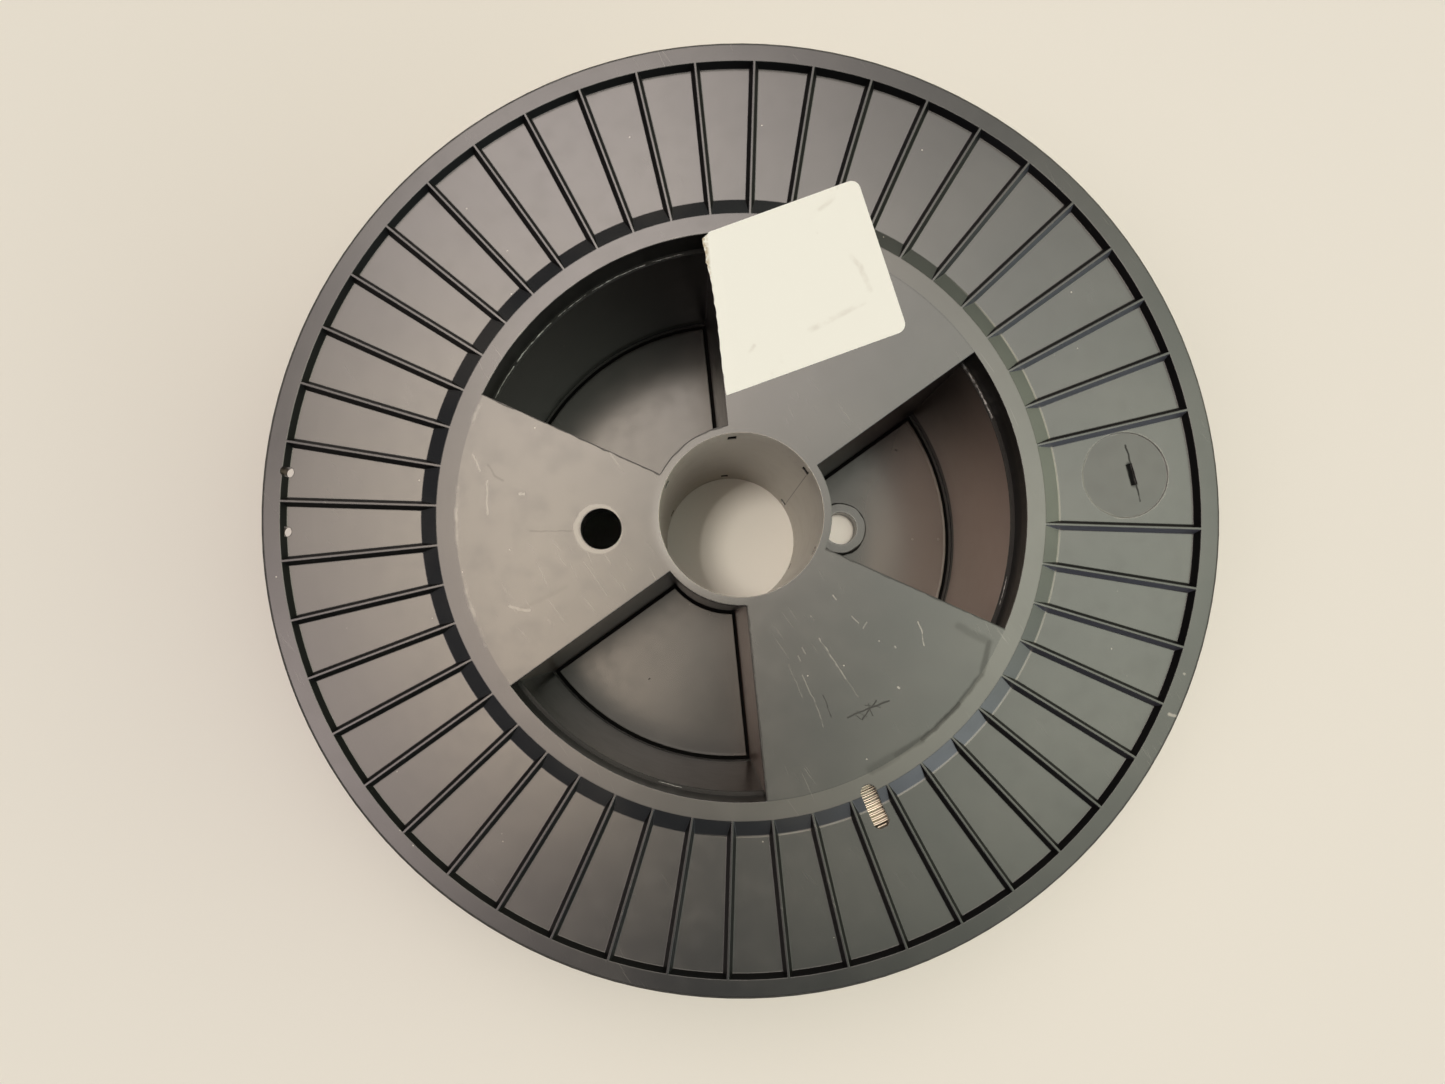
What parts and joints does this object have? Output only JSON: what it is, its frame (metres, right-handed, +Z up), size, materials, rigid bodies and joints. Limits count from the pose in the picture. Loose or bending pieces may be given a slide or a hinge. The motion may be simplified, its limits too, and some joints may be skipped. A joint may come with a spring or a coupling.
{
  "type": "mig welding wire spool",
  "caption": "Ribbed plastic spool wound with solid welding wire, with a central spindle bore and an offset drive pin hole in each flange.",
  "frame": {"origin": "on the spool's axis, at the face of the lower flange that the spool lies on", "axes": "+Z up along the spool's axis, +X towards the mould mark on the upper flange"},
  "size_m": [0.3, 0.3, 0.1032],
  "materials": {
    "spool_plastic": "satin moulded polystyrene",
    "welding_wire": "drawn stainless wire",
    "label_paper": "matt white paper"
  },
  "bodies": {
    "root": {"upper_flange": "spool_plastic", "lower_flange": "spool_plastic", "barrel_core": "spool_plastic", "wire_winding": "welding_wire", "label": "label_paper"}
  },
  "joints": []
}
